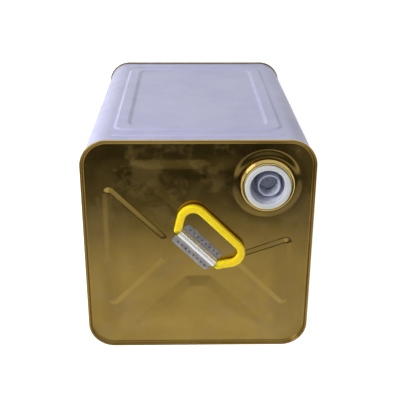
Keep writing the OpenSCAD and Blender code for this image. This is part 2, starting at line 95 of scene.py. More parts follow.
# the frame on each side is a raised pad with a sunk field in it, and a bead runs above and below it
SIDE_RISE = 1.5
SIDE_CORNER = 14.0
FRAME_HALF = TIN_WIDTH / 2 - TIN_CORNER - 3.0
FRAME_LOW = 37.0
FRAME_HIGH = TIN_HEIGHT - 37.0
FRAME_SLOPE = 4.0
FIELD_HALF = 75.0
FIELD_LOW = 46.0
FIELD_HIGH = 299.0
FIELD_SLOPE = 5.0
BEAD_HEIGHTS = (21.0, TIN_HEIGHT - 22.0)
BEAD_HALF = 4.0
BEAD_CORNER = 3.9
BEAD_SLOPE = 3.6

# the round seat of the spout, and the neck drawn up from it
SPOUT = (69.5, 72.0)
SEAT_R = 36.5
SEAT_RISE = 1.3
SEAT_SLOPE = 8.0
SEAT_Z = LID_Z + SEAT_RISE
NECK_R = 21.2
NECK_RISE = 5.0
CURL_R = 1.1

# the collar and the fixed ring under it
COLLAR_LOW = SEAT_Z + 0.3
COLLAR_TOP = SEAT_Z + 7.9
RING_TOP = SEAT_Z + 10.3
RING_BORE = 18.0
RING_LIP = 1.0

# the folding wall, and the nozzle, which stands a little off the spout's middle
FOLD_WALL = 0.9
FOLD_FLOOR = RING_TOP - 21.0
NOZZLE = (SPOUT[0] + 1.6, SPOUT[1])
NOZZLE_R = 11.65
NOZZLE_BORE = 9.25
NOZZLE_LENGTH = 27.0
RIM_Z = RING_TOP - 5.5
RIM_HEIGHT = 2.5

# the strap: half its length along the handle's axis, half its width over both wings, its corners and sheet
STRAP_HALF = 25.7
STRAP_WING = 13.3
STRAP_CORNER = 4.0
STRAP_SHEET = 0.5

# the radii of the handle's pivot bar and of the strap's tunnel, and the height of their axis
PIVOT_R = 2.9
TUNNEL_BORE = 3.2
AXIS_Z = LID_Z + TUNNEL_BORE

# the handle: its section, the triangle by which its legs lean out, the place of a foot along the axis, and
# the radius of the bends and the reach of the grip away from the axis
HANDLE_WIDTH = 8.0
HANDLE_THICK = 5.6
HANDLE_EDGE = 1.2
LEG_RUN, LEG_RISE = 336, 527
FOOT = 28.3
BEND_R = 13.2
GRIP = 34.0

# where the strap and handle lie: moved along and across the axis, turned about the lid's middle, and the
# handle tilted up
HANDLE_MOVE = (-1.6, -0.5)
HANDLE_TURN = math.radians(-45)
HANDLE_TILT = math.radians(4)

# the photograph's frame in pixels, and the camera fitted to it, in metres
PHOTO_WIDTH = 400
FOCAL_PIXELS = 744.7
SENSOR_MM = 36
CAMERA_PLACE = (-0.0129, 0.3518, 1.0443)
CAMERA_AHEAD = (0.019, -0.3917, -0.9199)
CAMERA_RIGHT = (0.9998, 0.0038, 0.019)

BLACK = (0, 0, 0, 1)
WHITE = (1, 1, 1, 1)


# mesh helpers


def mesh_object(name, verts, faces):
    """A smooth mesh from points in millimetres."""
    mesh = bpy.data.meshes.new(name)
    mesh.from_pydata([tuple(c * MM for c in v) for v in verts], [], faces)
    mesh.update()
    mesh.polygons.foreach_set("use_smooth", [True] * len(mesh.polygons))
    obj = bpy.data.objects.new(name, mesh)
    bpy.context.scene.collection.objects.link(obj)
    return obj


def grid_faces(rows, cols, close_cols=True, close_rows=False):
    """Quads between rows of points, each row cols long."""
    faces = []
    for i in range(rows if close_rows else rows - 1):
        row, following = i * cols, (i + 1) % rows * cols
        for k in range(cols if close_cols else cols - 1):
            m = (k + 1) % cols
            faces.append((row + k, row + m, following + m, following + k))
    return faces


def capped_tube(rings):
    """Points and faces of a closed tube through rings of as many points each, with flat ends."""
    cols = len(rings[0])
    verts = [v for ring in rings for v in ring]
    faces = grid_faces(len(rings), cols)
    faces.append(tuple(reversed(range(cols))))
    faces.append(tuple(range(len(verts) - cols, len(verts))))
    return verts, faces


def lathe(name, profile, centre, segments=128, closed=True):
    """A profile of (radius, z) turned round an upright axis."""
    verts = []
    for r, z in profile:
        for k in range(segments):
            a = 2 * math.pi * k / segments
            verts.append((centre[0] + r * math.cos(a), centre[1] + r * math.sin(a), z))
    return mesh_object(name, verts, grid_faces(len(profile), segments, close_rows=closed))


def arc(cx, cz, r, start, end, steps):
    """Points on a circle, from one angle in degrees to another."""
    angles = [math.radians(start + (end - start) * i / steps) for i in range(steps + 1)]
    return [(cx + r * math.cos(a), cz + r * math.sin(a)) for a in angles]


def outline(half, corner_r, straight, corner):
    """Points and outward directions round a square with round corners, with the counts of points along a
    straight side and round a corner."""
    least_r = 0.5
    r = max(corner_r, least_r)
    reach = half - r
    side = []
    for i in range(straight):
        side.append((half, -reach + 2 * reach * i / straight, 1, 0))
    for i in range(corner):
        a = math.pi / 2 * i / corner
        side.append((reach + r * math.cos(a), reach + r * math.sin(a), math.cos(a), math.sin(a)))
    points = []
    for quarter in range(4):
        c, s = math.cos(quarter * math.pi / 2), math.sin(quarter * math.pi / 2)
        points += [(c * x - s * y, s * x + c * y, c * nx - s * ny, s * nx + c * ny) for x, y, nx, ny in side]
    return points


def join(objs, name):
    """Several mesh objects as one."""
    bpy.ops.object.select_all(action="DESELECT")
    for obj in objs:
        obj.select_set(True)
    bpy.context.view_layer.objects.active = objs[0]
    bpy.ops.object.join()
    objs[0].name = name
    objs[0].data.name = name
    return objs[0]


def finish_piece(obj, body, slot, material, *nodes):
    """A piece's material and body, and the nodes that it stands for, which are hidden. The slot is not used.
    """
    obj.data.materials.clear()
    obj.data.materials.append(material)
    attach(obj, body)
    if nodes:
        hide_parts(*nodes)


def finish_fold(obj, node):
    """A folding wall, given its material, with its place baked into its points and the node that it stands
    for hidden.
    """
    obj.data.materials.append(fold_plastic)
    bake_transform(obj)
    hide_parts(node)


# materials


def linear(r, g, b):
    """An sRGB colour of 0 to 255 as a linear one."""
    out = []
    for c in (r, g, b):
        c /= 255
        out.append(c / 12.92 if c <= 0.04045 else ((c + 0.055) / 1.055) ** 2.4)
    return (*out, 1)


class Graph:
    """Short calls for the nodes of a material or a world."""

    def __init__(self, owner, output):
        owner.use_nodes = True
        self.tree = owner.node_tree
        self.tree.nodes.clear()
        self.out = self.add(output)

    def fill(self, socket, value):
        """Give a socket a value, or link another node's socket to it."""
        if isinstance(value, bpy.types.NodeSocket):
            self.tree.links.new(value, socket)
        else:
            socket.default_value = value

    def add(self, kind, inputs=None, **settings):
        """A node with its inputs filled, by name or by number."""
        node = self.tree.nodes.new(kind)
        for key, value in settings.items():
            setattr(node, key, value)
        for key, value in (inputs or {}).items():
            self.fill(node.inputs[key], value)
        return node

    def object_coords(self):
        """The place of a point in its object, in metres."""
        return self.add("ShaderNodeTexCoord").outputs["Object"]

    def noise(self, scale, detail=3, rough=0.55, coords=None, stretch=None):
        """Noise of about scale waves to a metre, drawn out along an axis whose stretch is under 1."""
        coords = coords or self.object_coords()
        if stretch:
            coords = self.add("ShaderNodeMapping", {"Vector": coords, "Scale": stretch}).outputs[0]
        inputs = {"Vector": coords, "Scale": scale, "Detail": detail, "Roughness": rough}
        return self.add("ShaderNodeTexNoise", inputs).outputs["Fac"]

    def ramp(self, fac, stops):
        """A colour ramp through stops of (position, colour)."""
        node = self.add("ShaderNodeValToRGB", {"Fac": fac})
        elements = node.color_ramp.elements
        while len(elements) < len(stops):
            elements.new(0.5)
        for element, (position, colour) in zip(elements, stops):
            element.position = position
            element.color = colour
        return node.outputs["Color"]

    def grey_ramp(self, fac, low, high, start, end):
        """A ramp from one grey to another between two positions."""
        return self.ramp(fac, [(start, (low, low, low, 1)), (end, (high, high, high, 1))])

    def math(self, operation, a, b):
        """Two numbers worked into one."""
        return self.add("ShaderNodeMath", {0: a, 1: b}, operation=operation).outputs[0]

    def mix(self, fac, a, b, blend="MIX"):
        """Two colours worked into one."""
        node = self.add("ShaderNodeMix", data_type="RGBA", blend_type=blend)
        for name, kind, value in (("Factor", "VALUE", fac), ("A", "RGBA", a), ("B", "RGBA", b)):
            self.fill(next(s for s in node.inputs if s.name == name and s.type == kind), value)
        return next(s for s in node.outputs if s.type == "RGBA")

    def bump(self, height, strength, distance, **more):
        """A normal bent by a height."""
        inputs = {"Height": height, "Strength": strength, "Distance": distance, **more}
        return self.add("ShaderNodeBump", inputs).outputs[0]


class Finish(Graph):
    """A material with one principled shader, whose sockets are set by name."""

    def __init__(self, name):
        self.material = bpy.data.materials.new(name)
        super().__init__(self.material, "ShaderNodeOutputMaterial")
        self.shader = self.add("ShaderNodeBsdfPrincipled")
        self.fill(self.out.inputs[0], self.shader.outputs[0])

    def set(self, **values):
        """Fill the shader's sockets, with _ for each space in a socket's name."""
        for key, value in values.items():
            self.fill(self.shader.inputs[key.replace("_", " ")], value)


def lacquer(name, light, dark, rough, metal, wave, gloss=0.5, painted_shade_at=None):
    """Lacquered tinplate: a slightly uneven film over sheet that is not quite flat. Where the middle of a
    painted shade is given, there are smoky, dusty patches too, lighter and rougher, which also paint in
    patches of room mirrored in the sheet; and round that middle lies a ring of painted shade with a ragged
    edge, for the collar's dark reflection and shade on the lid."""
    g = Finish(name)
    cloud = g.noise(9, detail=4)
    fine = g.noise(420)
    smear = g.noise(38, detail=5, rough=0.6)
    colour = g.mix(g.grey_ramp(cloud, 0, 1, start=0.35, end=0.65), dark, light)
    colour = g.mix(g.grey_ramp(smear, 0, 0.12, start=0.45, end=0.75), colour, BLACK, blend="SOFT_LIGHT")
    roughness = g.grey_ramp(smear, rough * 0.85, rough * 1.2, start=0.3, end=0.75)
    g.set(Metallic=metal)
    if painted_shade_at:
        # dusty patches, lighter and rougher: partly real dust, partly painted reflection of patches of room
        dust_and_reflection = g.grey_ramp(g.noise(24, detail=6, rough=0.72), 0, 0.06, start=0.5, end=0.6)
        colour = g.mix(dust_and_reflection, colour, linear(176, 156, 140))
        # painted shade: the sheet darkens in a ring round this middle, from 31 to 46 mm out, with a ragged
        # edge
        middle = [c * MM for c in painted_shade_at]
        away = g.add("ShaderNodeVectorMath", {0: g.object_coords(), 1: middle}, operation="DISTANCE")
        rag = g.math("MULTIPLY", g.math("SUBTRACT", smear, 0.5), 12 * MM)
        ragged = g.math("ADD", away.outputs["Value"], rag)
        painted_shade = g.grey_ramp(ragged, 0.62, 0, start=31 * MM, end=46 * MM)
        colour = g.mix(painted_shade, colour, (0.02, 0.014, 0.004, 1))
        roughness = g.math("ADD", roughness, dust_and_reflection)
        g.set(Metallic=g.math("SUBTRACT", metal, dust_and_reflection))
    g.set(Base_Color=colour, Roughness=roughness, Specular_IOR_Level=gloss)
    dents = g.bump(g.noise(14, detail=2), strength=wave, distance=2 * MM)
    g.set(Normal=g.bump(fine, strength=0.05, distance=0.2 * MM, Normal=dents))
    return g.material


def plastic(name, light, dark, rough, sink=0.0, depth=2.0):
    """Moulded plastic with a faint flow pattern, and a share of light that sinks in, to a depth."""
    g = Finish(name)
    flow = g.noise(60, detail=4, rough=0.6, stretch=(1, 1, 0.3))
    colour = g.mix(g.grey_ramp(flow, 0, 1, start=0.3, end=0.7), dark, light)
    g.set(Base_Color=colour, Specular_IOR_Level=0.35)
    g.set(Roughness=g.grey_ramp(g.noise(260), rough * 0.85, rough * 1.2, start=0.3, end=0.7))
    if sink:
        g.set(Subsurface_Weight=sink, Subsurface_Radius=(1.0, 1.0, 1.0), Subsurface_Scale=depth * MM)
    g.set(Normal=g.bump(g.noise(900, detail=2), strength=0.06, distance=0.2 * MM))
    return g.material


def bare_metal(name, light, dark, rough, highlight_from=None):
    """Bare tinplate with fine rolling lines, and a near-white painted highlight above a height where one is
    given.
    """
    g = Finish(name)
    lines = g.noise(700, rough=0.6, stretch=(1, 0.05, 1))
    cloud = g.noise(120, detail=4)
    colour = g.mix(g.grey_ramp(cloud, 0, 1, start=0.35, end=0.65), dark, light)
    if highlight_from:
        # painted highlight: near white above the height, along the top of the strap's tunnel
        height = g.add("ShaderNodeSeparateXYZ", {"Vector": g.object_coords()}).outputs["Z"]
        span = {"Value": height, "From Min": highlight_from * MM, "From Max": (highlight_from + 1) * MM}
        painted_highlight = g.add("ShaderNodeMapRange", span).outputs[0]
        colour = g.mix(painted_highlight, colour, linear(250, 250, 250))
    g.set(Base_Color=colour, Metallic=1.0)
    g.set(Roughness=g.grey_ramp(lines, rough * 0.8, rough * 1.25, start=0.3, end=0.7))
    g.set(Normal=g.bump(lines, strength=0.08, distance=0.2 * MM))
    return g.material


# the lid's gold carries a ring of painted shade round the spout's seat
gold = lacquer(
    "gold_lacquer", linear(156, 130, 68), linear(147, 121, 61),
    rough=0.12, metal=1.0, wave=0.10, painted_shade_at=(*SPOUT, SEAT_Z))
collar_gold = lacquer(
    "collar_gold", linear(240, 212, 132), linear(226, 196, 116), rough=0.08, metal=1.0, wave=0.02)
lavender = lacquer(
    "side_lacquer", linear(190, 190, 221), linear(186, 186, 217),
    rough=0.42, metal=0.0, wave=0.05, gloss=0.25)

tinplate = bare_metal("bare_tinplate", linear(158, 158, 166), linear(138, 138, 146), rough=0.35)
# the strap's tunnel carries a painted highlight along its top
strap_steel = bare_metal(
    "strap_tinplate", linear(172, 168, 168), linear(148, 144, 144), rough=0.3, highlight_from=LID_Z + 0.6)
weld_mark = bare_metal("weld_marks", linear(96, 90, 80), linear(58, 54, 50), rough=0.5)

white_plastic = plastic("spout_plastic", linear(208, 210, 208), linear(200, 202, 202), rough=0.38, sink=0.2)
yellow_plastic = plastic(
    "handle_plastic", linear(255, 218, 16), linear(252, 210, 10), rough=0.3, sink=1.0, depth=5.0)
# the folding wall and the nozzle are coloured darker and bluer than the ring, partly as painted shade of the
# deep trough round the nozzle
fold_plastic = plastic(
    "fold_plastic", linear(182, 184, 204), linear(176, 178, 198), rough=0.4, sink=0.6, depth=4.0)
nozzle_plastic = plastic("nozzle_plastic", linear(180, 184, 200), linear(174, 178, 194), rough=0.4, sink=0.3)
rubber = plastic("sealing_rubber", linear(120, 120, 122), linear(104, 104, 107), rough=0.7)


# lid and bottom


def smooth(t):
    """A soft step, from 0 at t = 0 to 1 at t = 1."""
    t = np.clip(t, 0, 1)
    return t * t * (3 - 2 * t)


def depth_inside(x, y, half_x, half_y, r):
    """How far inside a rectangle with round corners a point lies, negative outside."""
    qx, qy = np.abs(x) - (half_x - r), np.abs(y) - (half_y - r)
    outside = np.hypot(np.maximum(qx, 0), np.maximum(qy, 0)) + np.minimum(np.maximum(qx, qy), 0)
    return r - outside


def polygon_distance(x, y, corners):
    """Distance to a convex polygon, negative inside. Its corners run anticlockwise."""
    best = np.full(np.shape(x), np.inf)
    inside = np.ones(np.shape(x), bool)
    for a, b in zip(corners, corners[1:] + corners[:1]):
        dx, dy = b[0] - a[0], b[1] - a[1]
        t = np.clip(((x - a[0]) * dx + (y - a[1]) * dy) / (dx * dx + dy * dy), 0, 1)
        best = np.minimum(best, np.hypot(x - a[0] - t * dx, y - a[1] - t * dy))
        inside &= (dx * (y - a[1]) - dy * (x - a[0])) >= 0
    return np.where(inside, -best, best)


def lid_panels():
    """The middles of each panel's round corners, the share of the full rise and the width of the slope.

    The panels are the right, top, left and bottom one of the lid seen from above. The right and top ones are
    cut short by the spout between them, and the top and bottom ones are drawn softer.
    """
    off = (BAND_HALF + PANEL_CORNER) * math.sqrt(2)
    far, near = PANEL_FAR - PANEL_CORNER, PANEL_NEAR + PANEL_CORNER
    full = [(far, far - off), (near, near - off), (near, off - near), (far, off - far)]
    pass_y = PASS_FAR - PANEL_CORNER * math.hypot(1, PASS_SLOPE) - PASS_SLOPE * PANEL_CORNER
    tip = (off - pass_y + PASS_SLOPE * far) / (1 + PASS_SLOPE)
    short = [(far, pass_y), (tip, off - tip), (far, off - far)]
    return [
        (short, 1.0, PANEL_SLOPE),
        ([(y, x) for x, y in reversed(short)], 0.15, 2 * PANEL_SLOPE),
        ([(-x, -y) for x, y in full], 1.0, PANEL_SLOPE),
        ([(y, -x) for x, y in full], 0.5, 2.6 * PANEL_SLOPE),
    ]


def end_height(x, y, top):
    """Height of an end's sheet over its ledge. Only the top one has panels and a seat."""
    h = STEP_RISE * smooth(depth_inside(x, y, STEP_HALF, STEP_HALF, WALL_CORNER) / STEP_SLOPE)
    if top:
        for corners, share, slope in lid_panels():
            inwards = PANEL_CORNER - polygon_distance(x, y, corners)
            h = h + PANEL_RISE * share * np.clip(inwards / slope, 0, 1)
        away = np.hypot(x - SPOUT[0], y - SPOUT[1])
        seat = smooth((SEAT_R - away) / SEAT_SLOPE)
        h = h * (1 - seat) + (STEP_RISE + SEAT_RISE) * seat
    return h


def seam_profile():
    """Offset from the wall's outer face and height, from the hook over the seam and down to the ledge."""
    arch_z = TIN_HEIGHT - ARCH_R
    hook_x = SEAM_MIDDLE + ARCH_R - HOOK_R
    hook_z = TIN_HEIGHT - SEAM_HEIGHT + HOOK_R
    inner_x = SEAM_MIDDLE - ARCH_R
    foot_x = inner_x - CHUCK_LEAN - CHUCK_FILLET
    points = arc(hook_x, hook_z, HOOK_R, 180, 360, 8)
    points += arc(SEAM_MIDDLE, arch_z, ARCH_R, 0, 180, 14)
    points.append((inner_x - 0.3, arch_z - 0.9))
    return points + arc(foot_x, LEDGE_Z + CHUCK_FILLET, CHUCK_FILLET, 0, -90, 7)


def end_mesh(name, top):
    """The seam, countersunk wall and panel of the lid, or of the bottom turned over."""
    straight, corner, step = (230, 24, 0.8) if top else (160, 20, 2.3)
    innermost = 1.5
    seam = seam_profile()
    rings = []
    for off, z in seam:
        ring = outline(WALL_HALF + off, WALL_CORNER + off, straight, corner)
        rings.append([(x, y, z) for x, y, _, _ in ring])
    half = WALL_HALF + seam[-1][0]
    while half > innermost:
        half -= step
        ring = np.array(outline(half, WALL_CORNER - (WALL_HALF - half), straight, corner))
        x, y = ring[:, 0], ring[:, 1]
        rings.append(list(zip(x, y, LEDGE_Z + end_height(x, y, top))))
    cols = len(rings[0])
    verts = [v for ring in rings for v in ring]
    faces = grid_faces(len(rings), cols)

    # a fan closes the middle
    last, middle = len(verts) - cols, len(verts)
    verts.append((0, 0, LEDGE_Z + end_height(np.zeros(1), np.zeros(1), top)[0]))
    faces += [(last + k, last + (k + 1) % cols, middle) for k in range(cols)]
    if not top:
        return mesh_object(name, [(x, -y, TIN_HEIGHT - z) for x, y, z in verts], faces)

    # the lid is open inside the neck
    in_neck = [math.hypot(x - SPOUT[0], y - SPOUT[1]) < NECK_R for x, y, z in verts]
    return mesh_object(name, verts, [f for f in faces if not all(in_neck[i] for i in f)])


def add_ends():
    """The lid with its neck, and the bottom."""
    finish_piece(end_mesh("lid_sheet", top=True), "tin", "gold_lacquer", gold, "top_end")
    finish_piece(end_mesh("bottom_sheet", top=False), "tin", "gold_lacquer", gold, "bottom_end")
    curl_z = SEAT_Z + NECK_RISE
    profile = [(NECK_R, SEAT_Z - SHEET), (NECK_R, curl_z)]
    profile += arc(NECK_R + CURL_R, curl_z, CURL_R, 180, -120, 14)
    finish_piece(lathe("lid_neck", profile, SPOUT, closed=False), "tin", "gold_lacquer", gold)


# sides


def pad(s, z, half, low, high, corner, slope):
    """Height of a raised pad between two heights, at a distance along the side and a height."""
    depth = depth_inside(s, z - (low + high) / 2, half, (high - low) / 2, corner)
    return SIDE_RISE * smooth(depth / slope)


def side_height(s, z):
    """Relief of a side, at a distance along it from its middle and a height."""
    h = pad(s, z, FRAME_HALF, FRAME_LOW, FRAME_HIGH, SIDE_CORNER, FRAME_SLOPE)
    h = h - pad(s, z, FIELD_HALF, FIELD_LOW, FIELD_HIGH, SIDE_CORNER, FIELD_SLOPE)
    for middle in BEAD_HEIGHTS:
        h = h + pad(s, z, FRAME_HALF, middle - BEAD_HALF, middle + BEAD_HALF, BEAD_CORNER, BEAD_SLOPE)
    return h


def side_rows():
    """Heights of the wall's rows of points, close together where the relief has its corners and beads."""
    edge, close, wide = 1.6, 1.0, 4.0
    low_relief, high_relief, high_end = 60, 285, 340
    rows = []
    z = edge
    while z < TIN_HEIGHT - edge:
        rows.append(z)
        z += close if z < low_relief or high_relief < z < high_end else wide
    return rows + [TIN_HEIGHT - edge]


def add_sides():
    """The wall: one sheet round the tin, with the same relief on its four flat sides."""
    ring = np.array(outline(WALL_HALF, WALL_CORNER, 220, 20))
    place, outward = ring[:, :2], ring[:, 2:]
    along = place[:, 1] * outward[:, 0] - place[:, 0] * outward[:, 1]
    flat = np.max(np.abs(outward), axis=1) > 0.9999
    rows = side_rows()
    verts = []
    for z in rows:
        h = np.where(flat, side_height(along, z), 0)
        verts += [(x, y, z) for x, y in place + outward * h[:, None]]
    sides = mesh_object("side_sheet", verts, grid_faces(len(rows), len(ring)))
    finish_piece(sides, "tin", "side_lacquer", lavender, "body_shell")


# spout


def add_collar():
    """The collar: a foot on the seat, two rolled beads, and a lip crimped over the ring."""
    foot_in, lip_in, inner_r, outer_r = NECK_R + 0.4, 23.6, 25.9, 26.3
    sheet, bend, shoulder = 0.35, 1.0, 0.8
    bead, bead_x = 0.8, outer_r + 0.1
    low_bead, high_bead = COLLAR_LOW + 2.1, COLLAR_TOP - 2.5
    profile = [(foot_in, COLLAR_LOW), (outer_r - bend, COLLAR_LOW)]
    profile += arc(outer_r - bend, COLLAR_LOW + bend, bend, -90, 0, 6)
    profile += arc(bead_x, low_bead, bead, -80, 80, 10)
    profile += [(outer_r, low_bead + 1.0), (outer_r, high_bead - 0.9)]
    profile += arc(bead_x, high_bead, bead, -80, 80, 10)
    profile += arc(outer_r - 0.6, COLLAR_TOP - shoulder, shoulder, -10, 90, 8)
    profile += [(lip_in + 0.3, COLLAR_TOP - 0.02), (lip_in, COLLAR_TOP - 0.15), (lip_in, COLLAR_TOP - sheet)]
    profile += [(25.1, COLLAR_TOP - 0.4), (inner_r, COLLAR_TOP - 2), (inner_r, COLLAR_LOW + 1)]
    profile += [(foot_in, COLLAR_LOW + sheet)]
    collar = lathe("crimp_collar_sheet", profile, SPOUT, 160)
    finish_piece(collar, "tin", "collar_gold", collar_gold, "crimp_collar")


def add_ring():
    """The fixed ring, with a plug down inside the neck."""
    outer_r, shoulder_z = 23.3, SEAT_Z + 6.9
    plug_bore, plug_r, plug_z = 19.1, 21.0, SEAT_Z - 2
    lip_z, under_z = RING_TOP - RING_LIP, RING_TOP - 2 * RING_LIP
    profile = [(plug_bore, plug_z), (plug_r, plug_z), (plug_r + 0.1, shoulder_z), (outer_r, shoulder_z)]
    profile += arc(outer_r - RING_LIP, lip_z, RING_LIP, 0, 90, 6)
    profile += arc(RING_BORE + RING_LIP, lip_z, RING_LIP, 90, 180, 6)
    profile += [(RING_BORE, under_z), (plug_bore, under_z)]
    ring = lathe("spout_ring_moulding", profile, SPOUT, 160)
    finish_piece(ring, "tin", "spout_plastic", white_plastic, "spout_ring")


def add_outer_fold():
    """The outer half of the folding wall, from the ring down to the floor round the nozzle."""
    floor_in, foot_in, foot_out, turn = 11.1, 15.95, 16.8, 1.2
    top_z, low_z = RING_TOP - 2 * RING_LIP, FOLD_FLOOR - FOLD_WALL
    profile = [(RING_BORE, top_z), (foot_in, FOLD_FLOOR + turn)]
    profile += arc(foot_in - turn, FOLD_FLOOR + turn, turn, 0, -90, 6)
    profile += [(floor_in, FOLD_FLOOR), (floor_in, low_z), (15.0, low_z)]
    profile += arc(foot_out - turn, low_z + turn, turn, -90, 0, 6)
    profile += [(RING_BORE + FOLD_WALL, top_z)]
    outer = lathe("spout_outer_fold", profile, SPOUT)
    finish_fold(outer, "spout_outer_wall")


def add_inner_fold():
    """The inner half of the folding wall, from the floor up to the nozzle's rim."""
    low, high = FOLD_FLOOR - 0.85, RIM_Z - RIM_HEIGHT
    low_r, waist_r = NOZZLE_R + 1.2, NOZZLE_R + 0.75
    outside = [(low_r, low), (waist_r, low + 4), (NOZZLE_R + 0.25, low + 9), (NOZZLE_R, high)]
    inside = [(NOZZLE_R - FOLD_WALL, high), (waist_r - FOLD_WALL, low + 4), (low_r - FOLD_WALL, low)]
    inner = lathe("spout_inner_fold", outside + inside, NOZZLE)
    finish_fold(inner, "spout_inner_wall")


def add_nozzle():
    """The nozzle: a tube under a round lip, and the membrane in its bore with a tear line pressed in."""
    tube_r, lip, foot_z, rim_z = 10.4, 0.9, RIM_Z - NOZZLE_LENGTH, RIM_Z - RIM_HEIGHT
    profile = [(NOZZLE_BORE, foot_z), (tube_r, foot_z), (tube_r, rim_z), (NOZZLE_R, rim_z)]
    profile += arc(NOZZLE_R - lip, RIM_Z - lip, lip, 0, 180, 12)
    profile += [(NOZZLE_BORE, RIM_Z - 10)]
    tube = lathe("pour_nozzle_moulding", profile, NOZZLE)

    # the membrane reaches into the tube's wall, and starts a hair off the axis so that no face collapses
    z, edge, axis = RIM_Z - 16.5, NOZZLE_BORE + 0.1, 0.01
    profile = [(axis, z + 0.5), (6.2, z + 0.35), (6.6, z - 0.1), (7.0, z + 0.3)]
    profile += [(edge, z + 0.8), (edge, z - 0.4), (axis, z - 0.4)]
    membrane = lathe("nozzle_membrane", profile, NOZZLE)
    nozzle = join([tube, membrane], "pour_nozzle_moulding")
    finish_piece(nozzle, "nozzle", "spout_plastic", nozzle_plastic, "pour_nozzle")


# strap and handle


def on_handle_axis(points):
    """Points drawn along X about the handle's axis, turned into place on the lid."""
    c, s = math.cos(HANDLE_TURN), math.sin(HANDLE_TURN)
    moved = [(x + HANDLE_MOVE[0], y + HANDLE_MOVE[1], z) for x, y, z in points]
    return [(c * x - s * y, s * x + c * y, z) for x, y, z in moved]


def strap_row(wing):
    """Points across the strap, from the edge of one wing over the tunnel to the other, with their heights."""
    wing_in, tunnel_half = 5.6, 5.0
    tunnel_r = TUNNEL_BORE + STRAP_SHEET
    lean = math.degrees(math.atan2(tunnel_half - tunnel_r, TUNNEL_BORE))
    right = [(wing - share * (wing - wing_in), STRAP_SHEET) for share in (0, 0.4, 0.75, 1)]
    right += [(5.15, 0.62), (4.9, 0.9)]
    over = arc(0, TUNNEL_BORE, tunnel_r, lean, 180 - lean, 18)
    return right + over + [(-y, z) for y, z in reversed(right)]


def add_strap():
    """The strap: one sheet with two round-cornered wings, and a tunnel between them."""
    flat = STRAP_HALF - STRAP_CORNER
    rounding = [flat + STRAP_CORNER * math.cos(math.radians(a)) for a in range(0, 91, 9)]
    between = list(np.linspace(-flat, flat, 25))
    along = sorted({round(a, 3) for a in rounding + [-a for a in rounding] + between})
    verts = []
    for a in along:
        past = max(0.0, abs(a) - flat)
        row = strap_row(STRAP_WING - STRAP_CORNER + math.sqrt(max(0.0, STRAP_CORNER**2 - past**2)))
        verts += [(a, y, LID_Z + z) for y, z in row]
    faces = grid_faces(len(along), len(row), close_cols=False)
    strap = mesh_object("strap_sheet", on_handle_axis(verts), faces)
    sheet = strap.modifiers.new("sheet", "SOLIDIFY")
    sheet.thickness = STRAP_SHEET * MM
    sheet.offset = -1
    edge = strap.modifiers.new("edge", "BEVEL")
    edge.width = 0.12 * MM
    edge.segments = 2
    edge.limit_method = "ANGLE"
    finish_piece(strap, "tin", "bare_tinplate", strap_steel, "handle_strap")


def handle_section():
    """The handle's section, a rectangle with round edges, as points across and up."""
    x, y = HANDLE_WIDTH / 2 - HANDLE_EDGE, HANDLE_THICK / 2 - HANDLE_EDGE
    points = []
    for cx, cy, start in ((x, y, 0), (-x, y, 90), (-x, -y, 180), (x, -y, 270)):
        points += arc(cx, cy, HANDLE_EDGE, start, start + 90, 6)
    return points


def handle_path():
    """Stations along the handle, from one foot to the other: the place along the axis and away from it, the
    section's turn, and its width and thickness as shares of the full ones."""
    lean = math.atan2(LEG_RUN, LEG_RISE)
    bend_b = GRIP - BEND_R
    leg_end = bend_b - BEND_R * math.sin(lean)
    bend_a = FOOT + leg_end * math.tan(lean) - BEND_R * math.cos(lean)
    leg_steps, bend_steps, grip_steps = 14, 27, 12
    path = []

    # the foot is round about the axis, and its sections lie along the axis
    for b in (-2.75, -2.6, -2.2, -1.6, -0.8):
        thin = round(math.sqrt(1 - (2 * b / HANDLE_THICK) ** 2), 2)
        path.append((FOOT + b * math.tan(lean), b, 0.0, 1 / math.cos(lean), thin))

    # over the leg's first stretch the section turns square to it
    turned = 6
    for i in range(leg_steps + 1):
        b = leg_end * i / leg_steps
        turn = -lean * min(1.0, b / turned)
        path.append((FOOT + b * math.tan(lean), b, turn, 1 / math.cos(lean + turn), 1.0))
    for i in range(1, bend_steps + 1):
        turn = -lean + (math.pi / 2 + lean) * i / bend_steps
        path.append((bend_a + BEND_R * math.cos(turn), bend_b + BEND_R * math.sin(turn), turn, 1.0, 1.0))
    for i in range(1, grip_steps):
        path.append((bend_a * (1 - i / grip_steps), GRIP, math.pi / 2, 1.0, 1.0))
    mirrored = [(-a, b, math.pi - turn, wide, thin) for a, b, turn, wide, thin in reversed(path)]
    return path + mirrored


def handle_loop():
    """Points and faces of the yellow loop, whose feet stay clear of the strap's ends."""
    strap_clear, foot_reach = STRAP_HALF + 0.7, 7
    rings = []
    for a, b, turn, wide, thin in handle_path():
        ring = []
        for across, up in handle_section():
            x, y = a + across * wide * math.cos(turn), b + across * wide * math.sin(turn)
            if y < foot_reach and abs(x) < strap_clear:
                x = math.copysign(strap_clear, x)
            ring.append((x, y, up * thin))
        rings.append(ring)
    return capped_tube(rings)


def pivot_bar():
    """Points and faces of the pivot bar, which narrows past the strap's ends and ends in the feet."""
    sides = 32
    end = ((28.5, 1.6), (28.2, 2.4), (26.7, 2.5), (26.3, PIVOT_R))
    angles = [2 * math.pi * k / sides for k in range(sides)]
    stations = [(-a, r) for a, r in end] + list(reversed(end))
    return capped_tube([[(a, r * math.cos(t), r * math.sin(t)) for t in angles] for a, r in stations])


